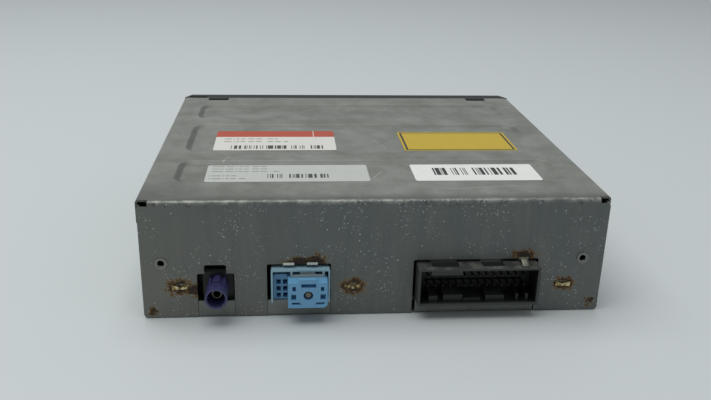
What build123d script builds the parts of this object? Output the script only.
from build123d import *

import os
from math import acos, atan, atan2, cos, degrees, hypot, pi, radians, sin, tan

# A slot-loading automotive disc player, in millimetres. X runs along the connector panel, Y from that
# panel to the disc slot in front, and Z up. The origin is in the middle of the base. Depths are measured
# from the outer face of the connector panel.

# Steel case
sheet = 0.8                 # thickness of the sheet steel
bend = 1.3                  # outside radius of a bend
case_width = 185.4          # over the side flanges of the cover
case_height = 49.4
case_depth = 163.8          # connector panel to the front edge of the cover
panel_inset = 0.7           # connector panel, in from the cover's flanges on each side
panel_rise = 0.5            # gap under the connector panel
panel_corner = 1.3          # corner radius of the connector panel
flange_height = 9.4         # side flanges of the cover
sheet_gap = 0.1             # between the flanges and the tray
wall_clear = 0.3            # between the tray's walls and the roof, and at its front corners
relief_width = 4.1          # corner reliefs beside the bend of the connector panel
relief_height = 2.2
relief_depth = 2.2
relief_round = 1.05

# Pressed panels of the roof: depth of each panel's near edge, and its width
press_rows = [(21.5, 28.5), (63.0, 45.0), (119.0, 30.0)]
press_depth = 1.0
press_slope = 2.5
press_corner = 7.0
press_margin = 11.2         # from the side of the case

# Notches in the front edge of the roof, and the tongues of the fascia in them
tongue_sets = (19.2, 19.7)  # from the left side and from the right side of the case
tongue_width = 10.6
tongue_reach = 2.3
notch_reach = 5.3
notch_play = 0.25
notch_corner = 0.8

# Threaded collars of the connector panel and of the side walls
collar_sets = (8.5, 9.4)    # from the left side and from the right side of the case
collar_z = 23.9
collar_hole_r = 1.5
collar_r = 2.35
collar_out = 0.5
side_hole_r = 2.0
side_hole_z = 24.0
side_hole_depths = (40.0, 130.0)

# Ears of the tray behind the panel, with a staked tab each: the outer two stand in from the sides
stake_sets = (15.3, 16.4)
stake_mid = -9.6
stake_heights = (13.6, 12.9, 12.5)
ear_width = 8.0
ear_top = 22.6
stake_width = 6.2
stake_height = 2.0
stake_proud = 0.45
stake_nick = 1.1            # depth of the punched V between the two spread points
stake_slot_width = 7.2
stake_slot_height = 2.8

# Cut-outs of the connector panel, open at its lower edge, and the tray's tongues that close them
cut_corner = 0.8
lip_top = 7.2
lip_play = 0.15
aerial_cut = (-7.9, 6.6, 19.2)         # from x, to x and top; x from the socket's axis
aerial_notch = (-5.0, 3.5, 22.9)
signal_cut = (-43.5, -18.3, 22.9)
harness_cut = (-25.65, 24.95, 23.9)    # x from the socket's middle
harness_lip_gap = 1.3       # open gap left of the tongue under the harness socket
harness_lip_end = 0.5       # and right of it

# Vents
vent_width = 2.2
vent_length = 14.0
vent_pitch = 7.0
vent_count = 5
vent_drop = 9.5             # middle of the side vents, below the cover's flanges
vent_depth = 68.0           # first side vent
floor_vent_length = 28.0
floor_vent_pitch = 7.0
floor_vent_count = 6
floor_vent_depth = 68.0     # first floor vent


# Fits
fit = 0.05                  # play of rods, shafts and pins on each side
hex_sides = 6

# Main board
board_gap = 4.0             # over the floor
board_thick = 1.6
board_side = 5.0            # from the tray's side walls
board_near = 2.6
board_far = 156.0
standoff_r = 2.6
standoff_depths = (8.0, 150.0)
standoff_set = 10.0         # from the side of the board

# Aerial socket
aerial_set = 29.9           # from the left side of the case
aerial_z = 12.7
aerial_reach = 9.0          # in front of the panel
aerial_seat = 3.0           # back of the shroud, behind the panel's outer face
aerial_r = 4.3
aerial_wall = 0.75
aerial_keys = [(0.0, 2.2, 1.0), (-2.8, 0.8, -0.1), (2.8, 0.8, -0.1)]   # shift, width, height over the round
aerial_key_start = 4.0      # in front of the panel
aerial_catch = (6.4, 5.6)   # window in the top, from and to in front of the panel
aerial_catch_width = 1.6
aerial_slit_width = 1.1     # keyway at the lower right of the mouth
aerial_slit_depth = 1.6
aerial_slit_angle = -52.0
aerial_contact_r = 1.9
aerial_contact_wall = 0.45
aerial_contact_set = 4.5    # behind the mouth of the shroud
aerial_block_half = 6.0
aerial_block_depth = 10.0
aerial_block_top = 19.4
aerial_block_bevel = 0.8

# Signal connector: a shell around a block of cells and a coaxial module, with a latch between them
signal_span = (-41.9, -18.7)
signal_top = 21.4
signal_wall = 0.7
signal_reach = 2.5
signal_back = 12.0
signal_floor = 10.5         # depth of the shell's rear wall
cell_width = 1.7
cell_height = 2.0
cell_deep = 6.0
cell_columns = (-39.0, -36.4)
cell_rows = (14.8, 11.8, 8.9)
cell_block_play = 0.1
cell_block_right = -35.4
cell_block_top = 18.1
cell_block_corner = 1.0
cell_block_set = 1.0        # behind the panel's outer face
coax_x = -27.6
coax_half = 7.7
coax_low = 7.7
coax_shoulder = 18.4
coax_top = 19.8
coax_lip_half = 3.6
coax_lip_depth = 2.2
coax_lip_corner = 0.5
coax_reach = 8.0
coax_back = 6.0
coax_corner = 1.8
coax_axis = (-27.4, 12.9)
coax_bore = 1.9
coax_bore_deep = 5.0
coax_pin_r = 1.1
coax_pin_set = 0.8          # behind the module's face
window_deep = 2.5
coax_windows = [(-27.3, 17.2, 5.8, 1.6), (-32.9, 15.9, 1.3, 2.0), (-21.9, 15.8, 1.3, 1.8),
                (-33.1, 12.4, 1.9, 2.3), (-21.7, 12.4, 2.1, 2.3)]      # x, z, width, height
coax_feet = [(-31.9, 9.6, 1.0), (-23.0, 9.6, -1.0)]                    # x, z, side of the slanted end
coax_foot_width = 3.8
coax_foot_height = 0.9
latch_set = 1.8             # back of the latch, in front of the panel
latch_thick = 1.2
latch_half = 6.7
latch_arm = 0.9
latch_corner = 0.7
latch_pad_half = 3.0
latch_pad_top = 20.3
latch_pad_back = 0.6        # in front of the panel

# Harness socket: its windows, ribs, hanging block and pins
harness_set = 52.45         # its middle, from the right side of the case
harness_half = 24.45
harness_top = 22.7
harness_wall = 1.0
harness_corner = 0.5
harness_reach = 6.3
harness_floor = 5.0         # depth of the cavity's floor
harness_back = 12.0
harness_bar = 2.2           # strip left in front of the windows of the upper wall
harness_window_end = 2.0    # depth where those windows end
harness_windows = [(-18.75, -7.85), (1.35, 10.45)]                     # x from the socket's middle
harness_ribs = [(-19.65, -16.15, 10.0), (-13.85, -6.05, 10.4), (-5.75, 1.35, 8.9), (3.35, 10.95, 10.0),
                (15.65, 16.65, 10.4), (19.55, 20.75, 10.4)]            # from x, to x, top
harness_rib_set = 2.0       # behind the rim
harness_hang = (-19.25, -6.85, 19.6)                                   # from x, to x, underside
pin_side = 0.64
pin_pitch = 3.0
pin_count = 14
pin_tip = 1.0               # in front of the panel
pin_rows = (12.8, 16.9)
pin_tail = 0.8              # behind the socket's back

# Ground springs over the edges of two cut-outs
spring_thick = 0.3
spring_corner = 0.25
spring_reach = 0.75         # hook in front of the panel
spring_leg = 5.5            # riveted leg inside the panel
spring_hook = 0.9           # height of the hook in front
spring_strip = 2.2
pair_fingers = [(-37.1, -32.8), (-27.8, -23.6)]
single_finger = (16.65, 20.35)         # x from the harness socket's middle

# Moulded fascia
fascia_depth = 8.2
fascia_inset = 0.2          # in from the cover's flanges on each side
fascia_rise = 0.3
fascia_skin = 2.4
fascia_wall = 2.2
fascia_side_wall = 5.1
fascia_chamfer_x = 3.6
fascia_chamfer_y = 7.0
fascia_edge = 0.7
hook_z = 22.0
hook_height = 8.0
hook_length = 9.0
hook_thick = 1.3
hook_root = 3.9
hook_barb = 0.7
hook_barb_length = 3.0
hook_play = 0.15
gap_span = (2.7, 12.5)      # shallow gap in its upper rear edge, from the left side of the case
gap_reach = 3.0
gap_depth = 1.2

# Disc slot and its sliding door
disc_r = 60.0
disc_thick = 1.2
slot_drop = 15.4            # middle of the slot, below the top of the case
slot_clear = 4.5            # between the felt lips
slot_half = 62.2
felt_thick = 0.9
frame_wall = 1.5
frame_back = 3.5            # behind the front edge of the cover
frame_front = 3.4
frame_flange = 1.5
frame_flange_side = 4.8
frame_flange_rise = 7.6
frame_flange_corner = 3.0
frame_flare = 1.0
wall_set = 0.2              # tray's front wall, behind the front edge of the cover
window_side = 3.8           # window of the fascia, round the slot: at the sides, below and above its middle
window_below = 6.0
window_above = 6.6
door_thick = 1.8
door_lap = 1.0
door_play = 0.2
door_travel = 9.9
ridge_half = 20.0
ridge_proud = 2.1
ridge_height = 2.2
ridge_bevel = 0.6
rail_width = 2.0
rail_lip = 1.6
rail_stop = 8.0

# Eject button over its rubber dome, and the light pipe below it
eject_side = 1.6            # between its rim and the door's rail or the fascia's side wall
eject_height = 7.5
eject_corner = 1.2
eject_play = 0.2
eject_rim = 1.0
eject_proud = 0.3
eject_bevel = 0.25
eject_stem = 3.2            # side of the square stem
dome_half = 3.4
dome_height = 2.6
dome_bevel = 1.4
front_board_high = 7.4
front_board_thick = 1.0
lens_drop = 11.0            # light pipe below the middle of the slot
lens_r = 1.6
lens_flange = 4.8           # side of the light pipe's flange

# Drive deck: posts, cradle, rubber dampers, deck plate, top plate
post_r = 3.0
post_set = 5.5              # from the side of the cradle
post_depths = (32.0, 140.0)
post_play = 0.6             # between a post and its notch in the board
cradle_drop = 19.0          # cradle below the middle of the slot
cradle_thick = 1.0
cradle_side = 6.5           # from the tray's side walls
cradle_near = 22.0
cradle_far = 152.0
cradle_edge = 5.0
cradle_window = 52.0
cradle_frame = 12.0
damper_height = 3.0
damper_r = 4.5
damper_x = 60.0
damper_depths = (34.0, 134.0)
deck_thick = 1.2
deck_half = 68.0
deck_near = 15.5
deck_far = 156.0
deck_wall_near = 24.0
deck_rim = 4.0              # strip left at the near end of the deck's window
lid_rise = 2.2              # top plate over the middle of the slot
lid_thick = 1.0
lid_half = 17.0             # opening for the clamp
lid_room = 4.0              # opening past the clamper
guide_thick = 1.0
guide_reach = 15.0
guide_bevel = 0.6
guide_margin = 1.0

# Disc loading: roller, gears and motor
roller_set = 13.8           # roller's axis, behind the front edge of the cover
roller_r = 4.6
roller_half = 58.0
roller_inner = 6.0
roller_drop = 0.4           # roller's top below the middle of the slot
roller_shaft_r = 1.5
drive_half = 1.0            # square end of the shaft, in the roller's gear
shaft_end = 1.5             # past the deck's wall or the last gear
disc_margin = 2.0           # between the loaded disc and the roller
module = 0.8
addendum = 0.9
dedendum = 1.2
backlash = 0.14
pressure = 20.0
gear_face = 2.5
gear_gap = 0.4
roller_teeth = 14
idler_teeth = 18
pinion_teeth = 10
wheel_teeth = 20
gear_drop = 3.7             # gear axles below the roller's axis
axle_r = 1.0
axle_end = 0.4
motor_length = 20.0
motor_r = 6.0
motor_shaft_r = 0.75
shaft_room = 0.3            # around the motor's shaft in the deck's wall
motor_gap = 0.4

# Disc drive: turntable, its motor and the clamp
seat_drop = 2.4             # turntable's seat below the middle of the slot
turntable_r = 12.5
turntable_thick = 2.0
pad_r = 12.2
pad_inner_r = 8.0
pad_thick = 0.4
boss_r = 7.4                # centring boss, no higher than the disc is thick
boss_height = 1.1
spindle_motor_r = 11.0
motor_hub_r = 2.5           # hub that carries the turntable
spindle_gap = 0.6
clamp_drop = 3.2            # travel of the clamper
clamp_reach = 53.0          # hinge to spindle
clamp_half = 12.0
clamp_thick = 1.0
clamp_nose = 7.0
clamp_pin_r = 1.25
ear_reach = 2.6             # ears of the clamp arm and of the top plate, around the pin
ear_rise = 2.2
ear_gap = 0.3
ear_run = 6.0
hinge_rise = 1.4            # hinge over the arm's underside
clamper_r = 11.0
clamper_thick = 2.6
clamper_gap = 0.35          # clamper over a disc when down, and arm over the clamper
clamper_neck = 4.0
clamper_play = 0.5
clamper_cap_r = 6.5
clamper_cap = 1.1
clamper_lift = 0.1
coil_wall = 0.9
coil_half = 5.0
cam_arm = 45.0              # hinge to cam pin
cam_travel = 10.0
cam_pin_r = 1.0
cam_pin_rise = 2.0          # cam pin over the hinge
cam_pin_end = 0.6
cam_play = 0.3
cam_web = 1.0
cam_set = 1.0               # web beside the opening
cam_foot = 1.0              # thickness of the foot
cam_foot_half = 3.5
cam_foot_set = 5.5
cam_near = 25.0             # slide's ends, from the cam pin
cam_far = 8.0
cam_rim = 3.2
cam_corner = 2.0
cam_lug = 3.0
cam_tabs = (-14.0, 4.0)     # tabs that hold the foot, from the cam pin
tab_width = 4.0
tab_thick = 1.0
tab_over = 2.0              # reach of a tab over the foot
tab_play = 0.15
rim_width = 0.8             # raised rim beside the web

# Pickup: rods, sled, lens, lead screw and motor
rod_r = 1.5
rod_x_half = 20.0
rod_rise = 5.3              # rods over the deck
holder = 3.0
holder_rise = 2.0
sled_start = 23.0           # lens to spindle at rest
sled_travel = 34.5
sled_half = 7.0
sled_play = 0.6
sled_side = 16.0
sled_low = 2.6
sled_high = 3.2
sled_corner = 2.0           # bevel of its upright edges
sled_eye = 2.4              # half thickness of the arms with the eyes
sled_step = 2.0
nut_step = 3.0
nut_side = 2.0
lens_half = 4.0             # square holder of the lens
lens_rise = 0.5
lens_height = 0.8
lens_glass_r = 2.5
lead_x = 31.0
lead_r = 1.4
lead_pitch = 3.0
lead_motor_r = 5.2
lead_motor_length = 16.0
lead_foot = 3.6

# Flat cable from the deck to its socket on the board
ribbon_wide = 14.0
ribbon_shift = 2.45         # from midway between the signal connector and the harness socket
ribbon_thick = 0.3
ribbon_corner = 0.25
ribbon_depth = 10.0
ribbon_grip = 4.0
socket_height = 3.0
socket_wall = 2.0

# What stands on the main board: depth, x, side and height of the chips. The capacitors, the coil and the tin
# can stand by the board's ends, each with its distance from the end and its depth
chips = [(58.0, -30.0, 27.0, 2.6), (58.0, 10.0, 20.0, 1.8),
         (92.0, -38.0, 16.0, 1.4), (92.0, -14.0, 16.0, 1.4),
         (96.0, 22.0, 24.0, 2.2), (128.0, -20.0, 14.0, 1.2), (128.0, 12.0, 18.0, 1.6)]
capacitors = [(32.0, 24.0), (21.0, 24.0)]
capacitor_side = 7.3
capacitor_share = 0.9       # of the height between the board and the cradle
coil_place = (26.0, 44.0)
coil_side = 12.0
coil_corner = 3.0
coil_share = 0.65
tin = 0.4
tin_set = 13.0
tin_wide = 27.0
tin_depths = (20.0, 44.0)
tin_share = 0.7

# Places worked out from the sizes above
length = aerial_reach + case_depth + fascia_depth + eject_proud
panel_y = aerial_reach - length / 2
panel_in = panel_y + sheet
front_y = panel_y + case_depth
face_y = front_y + fascia_depth
case_half = case_width / 2
panel_half = case_half - panel_inset
roof_in = case_height - sheet
tray_out = case_half - sheet - sheet_gap
tray_in = tray_out - sheet
fascia_in = case_half - fascia_inset - fascia_side_wall
collar_places = (-case_half + collar_sets[0], case_half - collar_sets[1])
tongue_places = (-case_half + tongue_sets[0], case_half - tongue_sets[1])
stake_places = list(zip((-case_half + stake_sets[0], stake_mid, case_half - stake_sets[1]), stake_heights))
aerial_x = -case_half + aerial_set
harness_x = case_half - harness_set
board_half = tray_in - board_side
ribbon_mid = (signal_span[1] + harness_x - harness_half) / 2 + ribbon_shift
ribbon_span = (ribbon_mid - ribbon_wide / 2, ribbon_mid + ribbon_wide / 2)
standoff_x = board_half - standoff_set
cradle_half = tray_in - cradle_side
post_x = cradle_half - post_set
slot_z = case_height - slot_drop
tray_top = roof_in - press_depth - wall_clear
flange_low = case_height - flange_height
vent_z = flange_low - vent_drop
wall_y = front_y - wall_set               # front face of the tray's front wall
board_bottom = sheet + board_gap
board_top = board_bottom + board_thick
cradle_z = slot_z - cradle_drop
under_cradle = cradle_z - board_top
deck_z = cradle_z + cradle_thick + damper_height
deck_top = deck_z + deck_thick
deck_in = deck_half - deck_thick
lid_z = slot_z + lid_rise
lid_top = lid_z + lid_thick
skin_y = face_y - fascia_skin             # rear face of the fascia's skin
door_y = skin_y - door_play - door_thick
rim_y = skin_y - eject_rim                # back of the eject button's rim
window_half = slot_half + window_side
window_low = slot_z - window_below
window_high = slot_z + window_above
rail_out = window_half + door_lap + door_play + rail_width
frame_flange_half = slot_half + frame_wall + frame_flange_side
eject_x = -(rail_out + fascia_in) / 2
eject_half = (fascia_in - rail_out) / 2 - eject_side - eject_rim
lens_z = slot_z - lens_drop
front_board_y = wall_y + front_board_thick
roller_y = front_y - roller_set
roller_z = slot_z - roller_drop - roller_r
spindle_y = roller_y - roller_r - disc_margin - disc_r
seat_z = slot_z - seat_drop
gear_z = roller_z - gear_drop
idler_y = roller_y - ((module * (roller_teeth + idler_teeth) / 2) ** 2 - gear_drop ** 2) ** 0.5
wheel_y = idler_y - module * (idler_teeth + pinion_teeth) / 2
motor_y = wheel_y - module * (wheel_teeth + pinion_teeth) / 2
inner_layer = (-deck_half - gear_gap - gear_face, -deck_half - gear_gap)
outer_layer = (inner_layer[0] - gear_gap - gear_face, inner_layer[0] - gear_gap)
clamper_z = seat_z + disc_thick + clamper_gap + clamp_drop
arm_z = clamper_z + clamper_thick + clamper_gap
hinge_y = spindle_y - clamp_reach
hinge_z = arm_z + hinge_rise
cam_y = hinge_y + cam_arm
cam_z = hinge_z + cam_pin_rise
cam_fall = cam_arm * clamp_drop / clamp_reach
web_xs = (-lid_half - cam_set - cam_web, -lid_half - cam_set)
foot_x = -lid_half - cam_foot_set
rod_z_mid = deck_top + rod_rise
sled_y = spindle_y - sled_start
rods_far = sled_y + sled_half + sled_play + holder
rods_near = sled_y - sled_travel - sled_half - sled_play - holder
lead_motor_y = rods_far - holder


def at(depth):
    """The y of a point that lies this far behind the outer face of the connector panel."""
    return panel_y + depth


def block(xs, ys, zs):
    """A box between two x, two y and two z values."""
    size = [abs(ends[1] - ends[0]) for ends in (xs, ys, zs)]
    return Pos(sum(xs) / 2, sum(ys) / 2, sum(zs) / 2) * Box(*size)


def rod_x(y, z, xs, radius):
    """A round bar along X."""
    return Pos(sum(xs) / 2, y, z) * Rot(0, 90, 0) * Cylinder(radius, abs(xs[1] - xs[0]))


def rod_y(x, z, ys, radius):
    """A round bar along Y."""
    return Pos(x, sum(ys) / 2, z) * Rot(90, 0, 0) * Cylinder(radius, abs(ys[1] - ys[0]))


def rod_z(x, y, zs, radius):
    """A round bar along Z."""
    return Pos(x, y, sum(zs) / 2) * Cylinder(radius, abs(zs[1] - zs[0]))


def prism_x(points, xs):
    """An outline of (y, z) points carried along X."""
    outline = make_face(Polyline(*points, close=True))
    return extrude(Plane.YZ.offset(min(xs)) * outline, abs(xs[1] - xs[0]))


def prism_y(points, ys):
    """An outline of (x, z) points carried along Y."""
    outline = make_face(Polyline(*points, close=True))
    return extrude(Plane.XZ.offset(-max(ys)) * outline, abs(ys[1] - ys[0]))


def prism_z(points, zs):
    """An outline of (x, y) points carried along Z."""
    outline = make_face(Polyline(*points, close=True))
    return extrude(Plane.XY.offset(min(zs)) * outline, abs(zs[1] - zs[0]))


def eased(shape, axis, radius, pick=None):
    """The shape with its edges along one axis rounded: all of them, or those that pick chooses."""
    edges = shape.edges().filter_by(axis)
    return fillet(pick(edges) if pick else edges, radius)


def upper(edges):
    return edges.group_by(Axis.Z)[-1]


def lower(edges):
    return edges.group_by(Axis.Z)[0]


def together(shapes):
    """Separate solids of one piece's group."""
    return Part() + list(shapes)


def mirrored(shape):
    """The shape and its mirror image across the middle plane."""
    return together([shape, mirror(shape, Plane.YZ)])


def corners_of(x, depths):
    return [(side * x, at(depth)) for side in (-1, 1) for depth in depths]


# Top cover: roof, side flanges and connector panel in one sheet

def channel():
    """Roof and side flanges, bent from one strip."""
    ys = (at(relief_depth), front_y)
    outer = eased(block((-case_half, case_half), ys, (flange_low, case_height)), Axis.Y, bend, upper)
    inside = case_half - sheet
    inner = block((-inside, inside), (panel_y, front_y + sheet), (flange_low - sheet, roof_in))
    return outer - eased(inner, Axis.Y, bend - sheet, upper)


def panel_bend():
    """The connector panel with the bend that joins it to the roof, and its corner reliefs."""
    wide = (-panel_half, panel_half)
    outer = block(wide, (panel_y, at(relief_depth)), (panel_rise, case_height))
    outer = eased(outer, Axis.X, bend, lambda edges: upper(edges).sort_by(Axis.Y)[:1])
    inner = block(wide, (panel_in, front_y), (0, roof_in))
    inner = eased(inner, Axis.X, bend - sheet, lambda edges: upper(edges).sort_by(Axis.Y)[:1])
    plate = eased(outer - inner, Axis.Y, panel_corner, lower)
    relief = block((panel_half - relief_width, case_half + sheet), (panel_y - sheet, at(relief_depth)),
                   (case_height - relief_height, case_height + relief_height))
    relief = eased(relief, Axis.Y, relief_round, lambda edges: edges.sort_by(Axis.X)[:2])
    plate = plate - mirrored(relief)
    sides = plate.edges().filter_by(Axis.Y).group_by(Axis.X)
    tips = [edge for edge in sides[0] + sides[-1] if edge.center().Z > case_height / 2]
    return fillet(tips, panel_corner)


def press_tool(depth, width):
    """The space that one pressed panel takes out of the roof, narrowing downwards."""
    span = 2 * (case_half - press_margin)
    y = at(depth + width / 2)
    mouth = Pos(0, y, case_height) * RectangleRounded(span, width, press_corner)
    bed = RectangleRounded(span - 2 * press_slope, width - 2 * press_slope, press_corner - press_slope)
    return loft([mouth.face(), (Pos(0, y, case_height - press_depth) * bed).face()], ruled=True)


def press_under(depth, width):
    """What the same panel adds under the roof."""
    span = 2 * (case_half - press_margin)
    y = at(depth + width / 2)
    mouth = Pos(0, y, roof_in) * Rectangle(span, width)
    bed = Pos(0, y, roof_in - press_depth) * Rectangle(span - 2 * press_slope, width - 2 * press_slope)
    return loft([mouth.face(), bed.face()], ruled=True)


def cut_outs():
    """The three cut-outs of the connector panel, and the taller notch over the aerial socket."""
    cuts = []
    for middle, (x0, x1, top) in ((aerial_x, aerial_cut), (aerial_x, aerial_notch), (0, signal_cut),
                                  (harness_x, harness_cut)):
        cut = block((middle + x0, middle + x1), (panel_y - sheet, panel_in + sheet), (-sheet, top))
        cuts.append(eased(cut, Axis.Y, cut_corner, upper))
    return cuts


def roof_notches():
    notches = []
    half = tongue_width / 2 + notch_play
    for x in tongue_places:
        notch = block((x - half, x + half), (front_y - notch_reach, front_y + sheet),
                      (roof_in - sheet, case_height + sheet))
        notches.append(eased(notch, Axis.Z, notch_corner, lambda edges: edges.sort_by(Axis.Y)[:2]))
    return notches


def top_cover():
    cover = channel() + panel_bend()
    for depth, width in press_rows:
        cover = cover + press_under(depth, width) - press_tool(depth, width)
    cover = cover - cut_outs() - roof_notches()
    for x in collar_places:
        cover = cover + rod_y(x, collar_z, (panel_y - collar_out, panel_in), collar_r)
        cover = cover - rod_y(x, collar_z, (panel_y - case_height, panel_in + case_height), collar_hole_r)
    for x, z in stake_places:
        cover = cover - block((x - stake_slot_width / 2, x + stake_slot_width / 2),
                              (panel_y - sheet, panel_in),
                              (z - stake_slot_height / 2, z + stake_slot_height / 2))
    return cover


# Chassis tray: floor, side walls, front wall, tongues under the connectors, ears with staked tabs

def tray_walls():
    """Floor and side walls, bent from one strip."""
    outer = eased(block((-tray_out, tray_out), (panel_in, wall_y), (0, tray_top)), Axis.Y, bend, lower)
    inner = block((-tray_in, tray_in), (panel_y, wall_y + sheet), (sheet, case_height))
    return outer - eased(inner, Axis.Y, bend - sheet, lower)


def front_wall():
    """The wall behind the fascia, with the opening for the slot's mouth and notches for the hooks."""
    half = tray_in - wall_clear
    ys = (wall_y - sheet, wall_y)
    through = (ys[0] - sheet, ys[1] + sheet)
    mouth_half = slot_half + frame_wall + wall_clear
    mouth_rise = slot_clear / 2 + felt_thick + frame_wall + wall_clear
    wall = block((-half, half), ys, (0, tray_top))
    mouth = block((-mouth_half, mouth_half), through, (slot_z - mouth_rise, slot_z + mouth_rise))
    hook = block((tray_in - hook_thick - 4 * hook_play, tray_out), through, hook_zs(hook_play))
    return wall - mouth - mirrored(hook)


def hook_zs(play):
    return hook_z - hook_height / 2 - play, hook_z + hook_height / 2 + play


def lips():
    """The low tongues that close the cut-outs from below, bent up from the floor."""
    spans = [(aerial_x + aerial_cut[0] + lip_play, aerial_x + aerial_cut[1] - lip_play, lip_top),
             (signal_cut[0] + lip_play, signal_cut[1] - lip_play, lip_top),
             (harness_x + harness_cut[0] + harness_lip_gap, harness_x + harness_cut[1] - harness_lip_end,
              board_top - lip_play)]
    made = []
    for x0, x1, top in spans:
        outer = block((x0, x1), (panel_y, panel_in + sheet), (0, top))
        outer = eased(outer, Axis.X, bend, lambda edges: lower(edges).sort_by(Axis.Y)[:1])
        made.append(outer - block((x0, x1), (panel_in, panel_in + 2 * sheet), (sheet, top + sheet)))
    return made


def ear(x, z):
    """An upright behind the panel with a staked tab, spread at its two points, through the panel's slot."""
    plate = block((x - ear_width / 2, x + ear_width / 2), (panel_in, panel_in + sheet), (0, ear_top))
    half = stake_width / 2
    low = z - stake_height / 2
    high = z + stake_height / 2
    tab = [(x - half, low), (x + half, low), (x + half, high), (x, high - stake_nick), (x - half, high)]
    return plate + prism_y(tab, (panel_y - stake_proud, panel_in + sheet))


def tray_openings():
    """Vents, hook windows and mounting holes of the tray."""
    cuts = []
    for i in range(floor_vent_count):
        y = at(floor_vent_depth + i * floor_vent_pitch)
        cuts.append(block((-floor_vent_length / 2, floor_vent_length / 2),
                          (y - vent_width / 2, y + vent_width / 2), (-sheet, 2 * sheet)))
    tip = front_y - hook_length
    for side in (-1, 1):
        through = (side * (tray_out + sheet), side * (tray_in - sheet))
        for i in range(vent_count):
            y = at(vent_depth + i * vent_pitch)
            cuts.append(block(through, (y - vent_width / 2, y + vent_width / 2),
                              (vent_z - vent_length / 2, vent_z + vent_length / 2)))
        cuts.append(block(through, (tip - hook_play, tip + hook_barb_length + hook_play), hook_zs(hook_play)))
        for depth in side_hole_depths:
            cuts.append(rod_x(at(depth), side_hole_z, through, side_hole_r))
    return cuts


def chassis_tray():
    tray = tray_walls() + front_wall() + lips()
    tray = tray + [ear(x, z) for x, z in stake_places]
    return tray - tray_openings()


# Aerial socket: a round keyed shroud, its contact, and the block on the board

def aerial_shroud():
    mouth = panel_y - aerial_reach
    back = at(aerial_seat)
    shroud = rod_y(aerial_x, aerial_z, (mouth, back), aerial_r)
    for shift, width, rise in aerial_keys:
        x = aerial_x + shift
        key = block((x - width / 2, x + width / 2), (panel_y - aerial_key_start, back),
                    (aerial_z, aerial_z + aerial_r + rise))
        shroud = shroud + key
    shroud = shroud - rod_y(aerial_x, aerial_z, (mouth - sheet, back), aerial_r - aerial_wall)
    catch = block((aerial_x - aerial_catch_width / 2, aerial_x + aerial_catch_width / 2),
                  (panel_y - aerial_catch[0], panel_y - aerial_catch[1]), (aerial_z, aerial_z + 2 * aerial_r))
    slit = Pos(aerial_x, mouth, aerial_z) * Rot(0, -aerial_slit_angle, 0) * Pos(aerial_r, 0, 0)
    slit = slit * Box(aerial_r, 2 * aerial_slit_depth, aerial_slit_width)
    return shroud - catch - slit


def aerial_contact():
    """The sleeve of the aerial contact."""
    ys = (panel_y - aerial_reach + aerial_contact_set, at(aerial_seat))
    sleeve = rod_y(aerial_x, aerial_z, ys, aerial_contact_r)
    return sleeve - rod_y(aerial_x, aerial_z, ys, aerial_contact_r - aerial_contact_wall)


def aerial_body():
    near = at(aerial_seat)
    body = block((aerial_x - aerial_block_half, aerial_x + aerial_block_half),
                 (near, near + aerial_block_depth),
                 (board_top, aerial_block_top))
    return chamfer(upper(body.edges()), aerial_block_bevel)


# Signal connector: shell, cell block, latch, and the coaxial module that stands out of it

def signal_shell():
    left, right = signal_span
    near = panel_y - signal_reach
    shell = block((left, right), (near, at(signal_back)), (board_top, signal_top))
    shell = eased(shell, Axis.Y, signal_wall, upper)
    bay = block((left + signal_wall, right - signal_wall), (near - sheet, at(signal_floor)),
                (board_top + signal_wall, signal_top - signal_wall))
    notch = block((left - sheet, right + sheet), (near - sheet, panel_in + lip_play), (0, lip_top + lip_play))
    return shell - bay - notch


def signal_block():
    """The part of the connector with two columns of small cells."""
    near = at(cell_block_set)
    left = signal_span[0] + signal_wall + cell_block_play
    body = block((left, cell_block_right), (near, at(signal_floor)),
                 (board_top + signal_wall, cell_block_top))
    body = eased(body, Axis.Y, cell_block_corner, upper)
    cells = []
    for x in cell_columns:
        for z in cell_rows:
            cells.append(block((x - cell_width / 2, x + cell_width / 2), (near - sheet, near + cell_deep),
                               (z - cell_height / 2, z + cell_height / 2)))
    return body - cells


def coax_module():
    """The blue module: shoulders, a raised lip, windows, slanted feet and the coaxial bore."""
    near = panel_y - coax_reach
    body = block((coax_x - coax_half, coax_x + coax_half), (near, at(coax_back)), (coax_low, coax_shoulder))
    body = eased(body, Axis.Y, coax_corner, lambda edges: lower(edges).sort_by(Axis.X)[-1:])
    lip = block((coax_x - coax_lip_half, coax_x + coax_lip_half), (near, near + coax_lip_depth),
                (coax_shoulder, coax_top))
    body = body + eased(lip, Axis.Y, coax_lip_corner, upper)
    deep = (near - sheet, near + window_deep)
    cuts = []
    for x, z, width, height in coax_windows:
        cuts.append(block((x - width / 2, x + width / 2), deep, (z - height / 2, z + height / 2)))
    for x, z, side in coax_feet:
        out = x - side * coax_foot_width / 2
        tip = x + side * coax_foot_width / 2
        low = z - coax_foot_height / 2
        high = z + coax_foot_height / 2
        cuts.append(prism_y([(out, low), (tip, low), (tip - side * coax_foot_height, high), (out, high)],
                            deep))
    cuts.append(rod_y(*coax_axis, (near - sheet, near + coax_bore_deep), coax_bore))
    return body - cuts


def coax_contact():
    mouth = panel_y - coax_reach
    return rod_y(*coax_axis, (mouth + coax_pin_set, mouth + coax_bore_deep), coax_pin_r)


def signal_latch():
    """The U shaped latch between the module's shoulders and the shell's roof, with its pad behind."""
    far = panel_y - latch_set
    near = far - latch_thick
    top = signal_top - signal_wall
    outer = block((coax_x - latch_half, coax_x + latch_half), (near, far), (coax_shoulder, top))
    inner = block((coax_x - latch_half + latch_arm, coax_x + latch_half - latch_arm), (near, far),
                  (coax_shoulder + latch_arm, top))
    pad = block((coax_x - latch_pad_half, coax_x + latch_pad_half), (far, panel_y - latch_pad_back),
                (coax_shoulder, latch_pad_top))
    return eased(outer, Axis.Y, latch_corner, lower) - inner + pad


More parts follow.
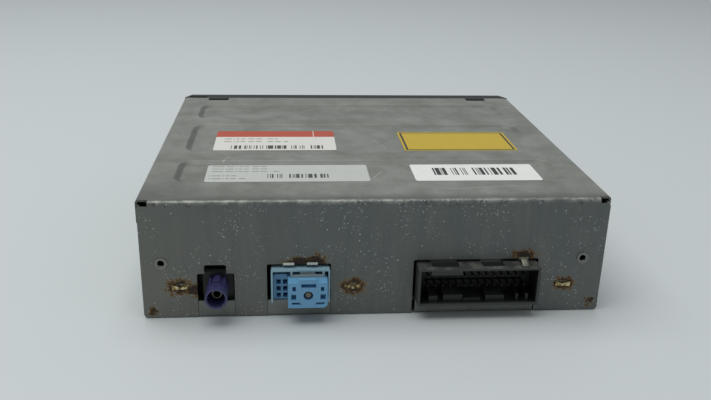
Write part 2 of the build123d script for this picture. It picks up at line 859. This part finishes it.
# Harness socket: a wide shroud with windows, ribs and two rows of pins

def harness_socket():
    left, right = harness_x - harness_half, harness_x + harness_half
    rim = panel_y - harness_reach
    low = board_top + harness_wall
    high = harness_top - harness_wall
    socket = block((left, right), (rim, at(harness_back)), (board_top, harness_top))
    socket = eased(socket, Axis.Y, harness_corner)
    socket = socket - block((left + harness_wall, right - harness_wall), (rim - sheet, at(harness_floor)),
                            (low, high))
    windows = []
    for x0, x1 in harness_windows:
        windows.append(block((harness_x + x0, harness_x + x1), (rim + harness_bar, at(harness_window_end)),
                             (high - sheet, harness_top + sheet)))
    ribs = []
    for x0, x1, top in harness_ribs:
        ribs.append(block((harness_x + x0, harness_x + x1), (rim + harness_rib_set, at(harness_floor)),
                          (low, top)))
    x0, x1, under = harness_hang
    hang = block((harness_x + x0, harness_x + x1), (rim + sheet, rim + harness_bar), (under, high))
    first, last = pin_places()[0][0], pin_places()[-1][0]
    passages = [block((first - pin_side, last + pin_side), (at(harness_floor), at(harness_back)),
                      (z - pin_side / 2, z + pin_side / 2)) for z in pin_rows]
    return socket - windows + ribs + hang - passages


def pin_places():
    """Centres of the harness pins, row by row."""
    first = harness_x - pin_pitch * (pin_count - 1) / 2
    return [(first + i * pin_pitch, z) for z in pin_rows for i in range(pin_count)]


def harness_pins():
    """Square pins held in the socket's floor."""
    half = pin_side / 2
    ys = (panel_y - pin_tip, at(harness_back) + pin_tail)
    return together(block((x - half, x + half), ys, (z - half, z + half)) for x, z in pin_places())


# Ground springs: thin fingers hooked over the edge of a cut-out

def spring_finger(xs, edge_z):
    """One finger: down the panel's inner face, under its edge, and up in front as a hook."""
    front = panel_y - spring_reach
    back = panel_in + spring_thick
    under = edge_z - spring_thick
    side = [(front, under), (back, under), (back, edge_z + spring_leg), (panel_in, edge_z + spring_leg),
            (panel_in, edge_z), (front + spring_thick, edge_z), (front + spring_thick, edge_z + spring_hook),
            (front, edge_z + spring_hook)]
    finger = prism_x(side, xs)
    return eased(finger, Axis.X, spring_corner, lambda edges: lower(edges).sort_by(Axis.Y)[:1])


def ground_spring_pair():
    fingers = [spring_finger(xs, signal_cut[2]) for xs in pair_fingers]
    top = signal_cut[2] + spring_leg
    strip = block((pair_fingers[0][0], pair_fingers[-1][1]), (panel_in, panel_in + spring_thick),
                  (top - spring_strip, top))
    return strip + fingers


def ground_spring():
    return spring_finger([harness_x + x for x in single_finger], harness_cut[2])


# Fascia, slot and door

def fascia_shell():
    half = case_half - fascia_inset
    low = fascia_rise
    corner_x = half - fascia_chamfer_x
    corner_y = face_y - fascia_chamfer_y
    plan = [(-half, front_y), (half, front_y), (half, corner_y), (corner_x, face_y), (-corner_x, face_y),
            (-half, corner_y)]
    shell = prism_z(plan, (low, case_height))
    shell = chamfer(shell.edges().group_by(Axis.Y)[-1], fascia_edge)
    return shell - block((-fascia_in, fascia_in), (front_y - sheet, skin_y),
                         (low + fascia_wall, case_height - fascia_wall))


def door_rails():
    """Guides behind the fascia's skin: an edge and a lip on each side, and a stop under the door."""
    edge = window_half + door_lap
    top = window_high + door_lap + rail_width
    low = window_low - door_lap - door_travel - rail_width
    plan = [(edge + door_play, skin_y), (edge + door_play, door_y - door_play),
            (edge - rail_width, door_y - door_play),
            (edge - rail_width, door_y - rail_lip), (rail_out, door_y - rail_lip), (rail_out, skin_y)]
    stop = block((edge - rail_stop, edge + door_play), (door_y - rail_lip, skin_y),
                 (low, low + rail_width - door_play))
    return mirrored(prism_z(plan, (low, top)) + stop)


def fascia_hook():
    """A side hook whose barb snaps into a window of the tray's side wall."""
    outer = tray_in - hook_play
    tip = front_y - hook_length
    plan = [(outer, skin_y), (outer, tip + hook_barb_length), (outer + hook_barb, tip + hook_barb_length),
            (outer, tip), (outer - hook_thick, tip), (outer - hook_thick, front_y),
            (outer - hook_root, front_y),
            (outer - hook_root, skin_y)]
    return prism_z(plan, hook_zs(0))


def front_fascia():
    fascia = fascia_shell()
    fascia = fascia - block((-window_half, window_half), (skin_y - sheet, face_y + sheet),
                            (window_low, window_high))
    fascia = fascia + door_rails() + mirrored(fascia_hook())
    half = tongue_width / 2
    for x in tongue_places:
        fascia = fascia + block((x - half, x + half), (front_y - tongue_reach, front_y + sheet),
                                (roof_in, case_height))
    fascia = fascia - block([gap - case_half for gap in gap_span], (front_y - sheet, front_y + gap_reach),
                            (case_height - gap_depth, case_height + sheet))
    wide = eject_half + eject_play
    tall = eject_height / 2 + eject_play
    hole = block((eject_x - wide, eject_x + wide), (skin_y - sheet, face_y + sheet),
                 (slot_z - tall, slot_z + tall))
    fascia = fascia - eased(hole, Axis.Y, eject_corner + eject_play)
    return fascia - rod_y(eject_x, lens_z, (skin_y - sheet, face_y + sheet), lens_r + fit)


def slot_door():
    """The sliding door, with a bevelled ridge for the finger."""
    half = window_half + door_lap
    front = door_y + door_thick
    door = block((-half, half), (door_y, front), (window_low - door_lap, window_high + door_lap))
    high = window_high - door_play
    low = high - ridge_height
    ridge = [(front, high), (front + ridge_proud, high - ridge_bevel),
             (front + ridge_proud, low + ridge_bevel),
             (front, low)]
    return door + prism_x(ridge, (-ridge_half, ridge_half))


def slot_frame():
    """The slot's moulded mouth, with a flange that seats on the tray's front wall."""
    rise = slot_clear / 2 + felt_thick
    back = front_y - frame_back
    front = front_y + frame_front
    outside = slot_half + frame_wall
    body = block((-outside, outside), (back, front), (slot_z - rise - frame_wall, slot_z + rise + frame_wall))
    flange = block((-frame_flange_half, frame_flange_half), (wall_y, wall_y + frame_flange),
                   (slot_z - frame_flange_rise, slot_z + frame_flange_rise))
    frame = body + chamfer(flange.edges().filter_by(Axis.Y), frame_flange_corner)
    frame = frame - block((-slot_half, slot_half), (back - sheet, front + sheet),
                          (slot_z - rise, slot_z + rise))
    mouth = frame.edges().filter_by(Axis.X).group_by(Axis.Y)[-1].sort_by(Axis.Z)[1:3]
    return chamfer(mouth, frame_flare)


def slot_felts():
    """Felt lips on the upper and lower faces of the slot."""
    ys = (front_y - frame_back, front_y + frame_front - 2 * frame_flare)
    zs = (slot_z + slot_clear / 2, slot_z + slot_clear / 2 + felt_thick)
    felt = block((-slot_half, slot_half), ys, zs)
    return together([felt, mirror(felt, Plane.XY.offset(slot_z))])


# Eject button, its rubber dome and board, and the light pipe

def eject_button():
    wide = eject_half
    tall = eject_height / 2
    cap = block((eject_x - wide, eject_x + wide), (rim_y, face_y + eject_proud),
                (slot_z - tall, slot_z + tall))
    cap = eased(cap, Axis.Y, eject_corner)
    cap = chamfer(cap.edges().group_by(Axis.Y)[-1], eject_bevel)
    rim = block((eject_x - wide - eject_rim, eject_x + wide + eject_rim), (rim_y, skin_y),
                (slot_z - tall - eject_rim, slot_z + tall + eject_rim))
    half = eject_stem / 2
    stem = block((eject_x - half, eject_x + half), (front_board_y + dome_height, rim_y),
                 (slot_z - half, slot_z + half))
    return cap + rim + stem


def eject_dome():
    """A square rubber dome with sloping sides, on the front board, that returns the button."""
    pad = block((eject_x - dome_half, eject_x + dome_half), (front_board_y, front_board_y + dome_height),
                (slot_z - dome_half, slot_z + dome_half))
    return chamfer(pad.edges().group_by(Axis.Y)[-1], dome_bevel)


def front_board():
    xs = (-tray_in + hook_play + hook_root + wall_clear, -frame_flange_half - wall_clear)
    return block(xs, (wall_y, front_board_y), (lens_z - front_board_high, slot_z + front_board_high))


def indicator_lens():
    """A short light pipe with a square flange behind the skin."""
    half = lens_flange / 2
    flange = block((eject_x - half, eject_x + half), (rim_y, skin_y), (lens_z - half, lens_z + half))
    return flange + rod_y(eject_x, lens_z, (rim_y, face_y + eject_proud), lens_r)


# Main board and what stands on it

def main_board():
    """The board, with a notch in its edge for each post of the deck."""
    board = block((-board_half, board_half), (at(board_near), at(board_far)), (board_bottom, board_top))
    wide = post_r + post_play
    for depth in post_depths:
        notch = block((post_x - wide, board_half + wide), (at(depth) - wide, at(depth) + wide),
                      (board_bottom - sheet, board_top + sheet))
        board = board - mirrored(notch)
    return board


def hex_post(x, y, zs, radius):
    """A hexagonal bar along Z."""
    return Pos(x, y, zs[0]) * extrude(RegularPolygon(radius, hex_sides), zs[1] - zs[0])


def hex_posts(radius, places, zs):
    return together(hex_post(x, y, zs, radius) for x, y in places)


def board_standoffs():
    return hex_posts(standoff_r, corners_of(standoff_x, standoff_depths), (sheet, board_bottom))


def processor_chips():
    made = []
    for depth, x, side, height in chips:
        made.append(block((x - side / 2, x + side / 2), (at(depth - side / 2), at(depth + side / 2)),
                          (board_top, board_top + height)))
    return together(made)


def power_capacitors():
    """Boxed film capacitors."""
    half = capacitor_side / 2
    top = board_top + capacitor_share * under_cradle
    places = [(board_half - end, at(depth)) for end, depth in capacitors]
    return together(block((x - half, x + half), (y - half, y + half), (board_top, top)) for x, y in places)


def power_coil():
    """A shielded coil: a low block with cut corners."""
    end, depth = coil_place
    x = board_half - end
    half = coil_side / 2
    coil = block((x - half, x + half), (at(depth) - half, at(depth) + half),
                 (board_top, board_top + coil_share * under_cradle))
    return chamfer(coil.edges().filter_by(Axis.Z), coil_corner)


def receiver_shield():
    """A thin tin can over the receiver, open at the board."""
    tin_span = (tin_set - board_half, tin_set - board_half + tin_wide)
    depths = (at(tin_depths[0]), at(tin_depths[1]))
    top = board_top + tin_share * under_cradle
    can = block(tin_span, depths, (board_top, top))
    return can - block((tin_span[0] + tin, tin_span[1] - tin), (depths[0] + tin, depths[1] - tin),
                       (0, top - tin))


# Deck: posts, cradle, dampers, deck plate, top plate, disc guide

def deck_posts():
    return hex_posts(post_r, corners_of(post_x, post_depths), (sheet, cradle_z))


def cradle_plate():
    """A sheet frame with turned-up sides and a large window, on the posts."""
    top = cradle_z + cradle_thick
    plate = block((-cradle_half, cradle_half), (at(cradle_near), at(cradle_far)),
                  (cradle_z, top + cradle_edge))
    inside = cradle_half - cradle_thick
    plate = plate - block((-inside, inside), (panel_y, front_y), (top, case_height))
    return plate - block((-cradle_window, cradle_window),
                         (at(cradle_near + cradle_frame), at(cradle_far - cradle_frame)),
                         (0, top + sheet))


def deck_dampers():
    """Rubber pads between the cradle and the deck."""
    return hex_posts(damper_r, corners_of(damper_x, damper_depths), (cradle_z + cradle_thick, deck_z))


def deck_plate():
    """The drive's frame: a sheet floor with side walls, and holders with open seats for the rods."""
    wide = (-deck_half, deck_half)
    plate = block(wide, (at(deck_near), at(deck_far)), (deck_z, deck_top))
    plate = plate + mirrored(block((deck_in, deck_half), (at(deck_wall_near), at(deck_far)), (deck_z, lid_z)))
    window = rod_x_half - holder
    plate = plate - block((-window, window), (at(deck_near + deck_rim), spindle_y - spindle_motor_r - sheet),
                          (deck_z - sheet, deck_top + sheet))
    top = rod_z_mid + holder_rise
    ends = [(rods_near, rods_near + holder), (rods_far - holder, rods_far)]
    for x in (-rod_x_half, rod_x_half):
        plate = plate + [block((x - holder, x + holder), ys, (deck_z, top)) for ys in ends]
    plate = plate + block((rod_x_half, lead_x + holder), ends[0], (deck_z, top))
    seats = [(-rod_x_half, rod_r), (rod_x_half, rod_r), (lead_x, lead_r)]
    for x, radius in seats:
        wide = radius + fit
        plate = plate - block((x - wide, x + wide), (rods_near, rods_far), (rod_z_mid - wide, top))
    wide = roller_shaft_r + fit
    plate = plate - block((-case_half, case_half), (roller_y - wide, roller_y + wide),
                          (roller_z - wide, lid_z))
    wide = motor_shaft_r + shaft_room
    return plate - block((-case_half, -deck_in + sheet), (motor_y - wide, motor_y + wide),
                         (gear_z - wide, gear_z + wide))


def top_plate():
    """Sheet over the disc, with an opening for the clamp, ears for its pin and tabs over the cam slide."""
    plate = block((-deck_half, deck_half), (at(deck_wall_near), at(deck_far)), (lid_z, lid_top))
    near = hinge_y - ear_reach
    through = (lid_z - sheet, lid_top + sheet)
    plate = plate - block((-lid_half, lid_half), (near, spindle_y + clamper_r + lid_room), through)
    inside = clamp_half + ear_gap
    side = [(lid_half + sheet, lid_z), (inside, lid_z), (inside, hinge_z + ear_rise),
            (inside + lid_thick, hinge_z + ear_rise), (inside + lid_thick, lid_top),
            (lid_half + sheet, lid_top)]
    plate = plate + mirrored(prism_y(side, (near, hinge_y + ear_reach)))
    wide = clamp_pin_r + fit
    plate = plate - block((-lid_half, lid_half), (hinge_y - wide, hinge_y + wide),
                          (hinge_z - wide, hinge_z + ear_rise))
    plate = plate + block((-lid_half - rim_width, -lid_half),
                          (cam_y - cam_near, cam_y + cam_far + cam_travel),
                          (lid_z, lid_top + cam_foot))
    edge = foot_x - cam_foot_half - tab_play
    low = lid_top + cam_foot + tab_play
    tab = [(edge - tab_thick, lid_z), (edge, lid_z), (edge, low), (edge + tab_over, low),
           (edge + tab_over, low + tab_thick), (edge - tab_thick, low + tab_thick)]
    for place in cam_tabs:
        plate = plate + prism_y(tab, (cam_y + place, cam_y + place + tab_width))
    return plate


def disc_guide():
    """Moulded bar over the roller that keeps the disc level, with bevelled edges."""
    half = deck_in - guide_margin
    guide = block((-half, half), (at(deck_far) - guide_reach, at(deck_far)), (lid_z - guide_thick, lid_z))
    return chamfer(lower(guide.edges().filter_by(Axis.X)), guide_bevel)


# Clamp: arm, pin, spring, clamper and cam slide

def clamp_arm():
    """A pressed arm: ears that hook over the hinge pin, a hole for the clamper's neck, and a cam pin."""
    xs = (-clamp_half, clamp_half)
    arm = block(xs, (hinge_y + ear_reach + ear_gap, spindle_y + clamper_cap_r + holder),
                (arm_z, arm_z + clamp_thick))
    arm = eased(arm, Axis.Z, clamp_nose, lambda edges: edges.sort_by(Axis.Y)[-2:])
    side = (clamp_half - clamp_thick, clamp_half)
    arm = arm + mirrored(block(side, (hinge_y - ear_reach, hinge_y + ear_run), (arm_z, hinge_z + ear_rise)))
    arm = arm + block((-side[1], -side[0]), (cam_y - cam_lug, cam_y + cam_lug),
                      (arm_z, cam_z + 2 * cam_pin_r))
    arm = arm + rod_x(cam_y, cam_z, (-side[0], web_xs[0] - cam_pin_end), cam_pin_r)
    wide = clamp_pin_r + fit
    arm = arm - block(xs, (hinge_y - wide, hinge_y + wide), (arm_z, hinge_z + wide))
    return arm - rod_z(0, spindle_y, (arm_z - sheet, arm_z + 2 * sheet), clamper_neck + clamper_play)


def clamp_pin():
    half = clamp_half + ear_gap + lid_thick + axle_end
    return rod_x(hinge_y, hinge_z, (-half, half), clamp_pin_r)


def clamp_spring():
    """Torsion spring coiled on the pin between the arm's ears."""
    xs = (-coil_half, coil_half)
    coil = rod_x(hinge_y, hinge_z, xs, clamp_pin_r + coil_wall)
    return coil - rod_x(hinge_y, hinge_z, xs, clamp_pin_r + fit)


def clamper():
    """A puck that hangs in the arm by its six-sided snap neck and cap."""
    top = arm_z + clamp_thick + clamper_lift
    puck = rod_z(0, spindle_y, (clamper_z, clamper_z + clamper_thick), clamper_r)
    neck = hex_post(0, spindle_y, (clamper_z, top), clamper_neck)
    return puck + neck + hex_post(0, spindle_y, (top, top + clamper_cap), clamper_cap_r)


def cam_slider():
    """A slide with an inclined slot: moved forwards, it lowers the clamp arm by its cam pin."""
    ys = (cam_y - cam_near, cam_y + cam_far)
    foot = block((foot_x - cam_foot_half, web_xs[1]), ys, (lid_top, lid_top + cam_foot))
    web = eased(block(web_xs, ys, (lid_top, cam_z + cam_rim)), Axis.X, cam_corner, upper)
    wide = cam_pin_r + cam_play
    slot = Pos(sum(web_xs) / 2, cam_y - cam_travel / 2, cam_z - cam_fall / 2)
    run = hypot(cam_travel, cam_fall) + 2 * wide
    slot = slot * Rot(degrees(atan2(cam_fall, cam_travel)), 0, 0)
    return foot + web - slot * Box(3 * cam_web, run, 2 * wide)


# Turntable and its motor

def spindle_motor():
    can = rod_z(0, spindle_y, (deck_top, seat_z - pad_thick - turntable_thick - spindle_gap), spindle_motor_r)
    return can + hex_post(0, spindle_y, (deck_top, seat_z - pad_thick - turntable_thick), motor_hub_r)


def turntable():
    """A round table with a boss that centres the disc."""
    top = seat_z - pad_thick
    table = rod_z(0, spindle_y, (top - turntable_thick, top), turntable_r)
    return table + rod_z(0, spindle_y, (top, seat_z + boss_height), boss_r)


def turntable_pad():
    """Rubber ring that the disc lies on."""
    zs = (seat_z - pad_thick, seat_z)
    return rod_z(0, spindle_y, zs, pad_r) - rod_z(0, spindle_y, zs, pad_inner_r)


# Pickup: rods, sled, lens, screw and motor

def guide_rods():
    return together(rod_y(x, rod_z_mid, (rods_near, rods_far), rod_r) for x in (-rod_x_half, rod_x_half))


def pickup_sled():
    """The sled: a closed eye on one rod, an open one on the other, a half nut over the lead screw."""
    z = rod_z_mid
    ys = (sled_y - sled_half, sled_y + sled_half)
    body = block((-sled_side, sled_side), ys, (z - sled_low, z + sled_high))
    body = chamfer(body.edges().filter_by(Axis.Z), sled_corner)
    arms = block((-rod_x_half - sled_eye, rod_x_half + sled_eye), (ys[0] + sled_step, ys[1] - sled_step),
                 (z - sled_eye, z + sled_eye))
    nut = block((rod_x_half, lead_x + nut_side), (ys[0] + nut_step, ys[1] - nut_step), (z, z + sled_high))
    sled = body + arms + nut
    sled = sled - rod_y(-rod_x_half, z, ys, rod_r + fit)
    wide = rod_r + fit
    sled = sled - block((rod_x_half - wide, rod_x_half + wide), ys, (z - sled_high, z + wide))
    wide = lead_r + fit
    return sled - block((lead_x - wide, lead_x + wide), ys, (z - sled_high, z + wide))


def objective_lens():
    """The lens in its square holder."""
    top = rod_z_mid + sled_high + lens_rise
    holder_block = block((-lens_half, lens_half), (sled_y - lens_half, sled_y + lens_half),
                         (rod_z_mid + sled_high, top))
    return holder_block + rod_z(0, sled_y, (top, top + lens_height), lens_glass_r)


def lead_screw():
    return rod_y(lead_x, rod_z_mid, (rods_near, lead_motor_y), lead_r)


def sled_motor():
    ys = (lead_motor_y, lead_motor_y + lead_motor_length)
    can = rod_y(lead_x, rod_z_mid, ys, lead_motor_r)
    return can + block((lead_x - lead_foot, lead_x + lead_foot), ys, (deck_top, rod_z_mid))


# Roller and gears

def involute(angle):
    return tan(angle) - angle


def tooth_half_angle(radius, teeth):
    """Half of a tooth's angle at this radius: an involute above the base circle, radial below it."""
    pitch_r = module * teeth / 2
    base = pitch_r * cos(radians(pressure))
    half = pi / (2 * teeth) - backlash / (2 * pitch_r)
    return half + involute(radians(pressure)) - involute(acos(base / max(radius, base)))


def toothed(teeth, centre, xs, phase):
    """A spur gear along X with no bore, with a tooth at the phase angle."""
    pitch_r = module * teeth / 2
    radii = [pitch_r - dedendum * module, pitch_r + addendum * module]
    points = []
    for i in range(teeth):
        middle = phase + 2 * pi * i / teeth
        flanks = [(radius, middle - tooth_half_angle(radius, teeth)) for radius in radii]
        flanks = flanks + [(radius, middle + tooth_half_angle(radius, teeth)) for radius in reversed(radii)]
        for radius, angle in flanks:
            points.append((centre[0] + radius * cos(angle), centre[1] + radius * sin(angle)))
    return prism_x(points, xs)


def on_axle(gear, centre):
    """The gear with a bore that turns on an axle."""
    return gear - rod_x(*centre, (outer_layer[0], inner_layer[1]), axle_r + fit)


def meshed_phase(phase, teeth, mate_teeth, direction):
    """Phase of the gear that meshes with one of the given phase, seen from it in this direction."""
    ahead = ((direction - phase) * teeth / (2 * pi)) % 1
    return direction + pi - (0.5 - ahead) * 2 * pi / mate_teeth


idler_phase = meshed_phase(0, roller_teeth, idler_teeth, atan2(gear_z - roller_z, idler_y - roller_y))
small_phase = meshed_phase(idler_phase, idler_teeth, pinion_teeth, pi)
motor_phase = meshed_phase(0, wheel_teeth, pinion_teeth, pi)


def square_drive(xs):
    return block(xs, (roller_y - drive_half, roller_y + drive_half),
                 (roller_z - drive_half, roller_z + drive_half))


def roller_gear():
    return toothed(roller_teeth, (roller_y, roller_z), outer_layer, 0) - square_drive(outer_layer)


def idler_gear():
    return on_axle(toothed(idler_teeth, (idler_y, gear_z), outer_layer, idler_phase), (idler_y, gear_z))


def reduction_gear():
    """The large wheel with its small pinion, moulded in one."""
    centre = (wheel_y, gear_z)
    wheel = toothed(wheel_teeth, centre, inner_layer, 0)
    return on_axle(wheel + toothed(pinion_teeth, centre, (outer_layer[0], inner_layer[0]), small_phase),
                   centre)


def motor_pinion():
    """The pinion on the loading motor's shaft, which turns with it."""
    centre = (motor_y, gear_z)
    pinion = toothed(pinion_teeth, centre, inner_layer, motor_phase)
    return pinion + rod_x(*centre, (inner_layer[1], -deck_in + motor_gap), motor_shaft_r)


def gear_axles():
    xs = (outer_layer[0] - axle_end, -deck_half)
    return together(rod_x(y, gear_z, xs, axle_r) for y in (wheel_y, idler_y))


def roller_shaft():
    """The roller's shaft, with a square end in its gear."""
    round_part = rod_x(roller_y, roller_z, (outer_layer[1], deck_half + shaft_end), roller_shaft_r)
    return round_part + square_drive((outer_layer[0] - axle_end, outer_layer[1]))


def loading_roller():
    """Two rubber sleeves on the shaft, with a gap between them that spares the disc's recorded face."""
    xs = (roller_inner, roller_half)
    sleeve = rod_x(roller_y, roller_z, xs, roller_r) - rod_x(roller_y, roller_z, xs, roller_shaft_r)
    return mirrored(sleeve)


def loading_motor():
    """A flat-sided motor inside the deck's wall."""
    xs = (-deck_in + motor_gap, -deck_in + motor_gap + motor_length)
    rise = gear_z - deck_top
    can = rod_x(motor_y, gear_z, xs, motor_r)
    return can & block(xs, (motor_y - motor_r, motor_y + motor_r), (deck_top, gear_z + rise))


# Flat cable between the drive and the main board

def ribbon_socket():
    xs = (ribbon_span[0] - socket_wall, ribbon_span[1] + socket_wall)
    y = at(ribbon_depth)
    return block(xs, (y - socket_wall, y + socket_wall), (board_top, board_top + socket_height))


def deck_ribbon():
    """A flat cable: clamped on the deck plate's near edge, then down to its socket on the board."""
    y = at(ribbon_depth)
    top = deck_top + ribbon_thick
    side = [(y, board_top + socket_height), (y + ribbon_thick, board_top + socket_height),
            (y + ribbon_thick, deck_top),
            (at(deck_near) + ribbon_grip, deck_top), (at(deck_near) + ribbon_grip, top), (y, top)]
    ribbon = prism_x(side, ribbon_span)
    return eased(ribbon, Axis.X, ribbon_corner, lambda edges: upper(edges).sort_by(Axis.Y)[:1])


pieces = [
    top_cover, chassis_tray, aerial_shroud, aerial_contact, aerial_body, signal_shell, signal_block,
    signal_latch, coax_module, coax_contact, harness_socket, harness_pins, ground_spring_pair,
    ground_spring, front_fascia, slot_door, slot_frame, slot_felts, eject_button, eject_dome, front_board,
    indicator_lens, main_board, board_standoffs, processor_chips, power_capacitors, power_coil,
    receiver_shield, ribbon_socket, deck_ribbon, deck_posts, cradle_plate, deck_dampers, deck_plate,
    top_plate, disc_guide, clamp_arm, clamp_pin, clamp_spring, clamper, cam_slider, spindle_motor,
    turntable, turntable_pad, guide_rods, pickup_sled, objective_lens, lead_screw, sled_motor,
    roller_shaft, loading_roller, roller_gear, idler_gear, reduction_gear, motor_pinion, gear_axles,
    loading_motor,
]

os.makedirs("parts", exist_ok=True)
for piece in pieces:
    export_step(piece(), os.path.join("parts", piece.__name__ + ".step"))

print(len(pieces), "parts, length", round(length, 2))
print("turns of the lead screw over the sled's travel:", round(sled_travel / lead_pitch, 3))
print("turns of the idler, wheel and motor pinion for one of the roller:",
      round(-roller_teeth / idler_teeth, 4), round(roller_teeth / pinion_teeth, 4),
      round(-roller_teeth / pinion_teeth * wheel_teeth / pinion_teeth, 4))
print("clamp arm's turn in degrees:", round(degrees(atan(clamp_drop / clamp_reach)), 3))
print("places:", {name: round(value, 3) for name, value in (
    ("panel_y", panel_y), ("front_y", front_y), ("roller_y", roller_y), ("roller_z", roller_z),
    ("idler_y", idler_y), ("wheel_y", wheel_y), ("motor_y", motor_y), ("gear_z", gear_z),
    ("spindle_y", spindle_y), ("hinge_y", hinge_y),
    ("hinge_z", hinge_z), ("sled_y", sled_y), ("rod_z", rod_z_mid), ("seat_z", seat_z), ("rim_y", rim_y))})
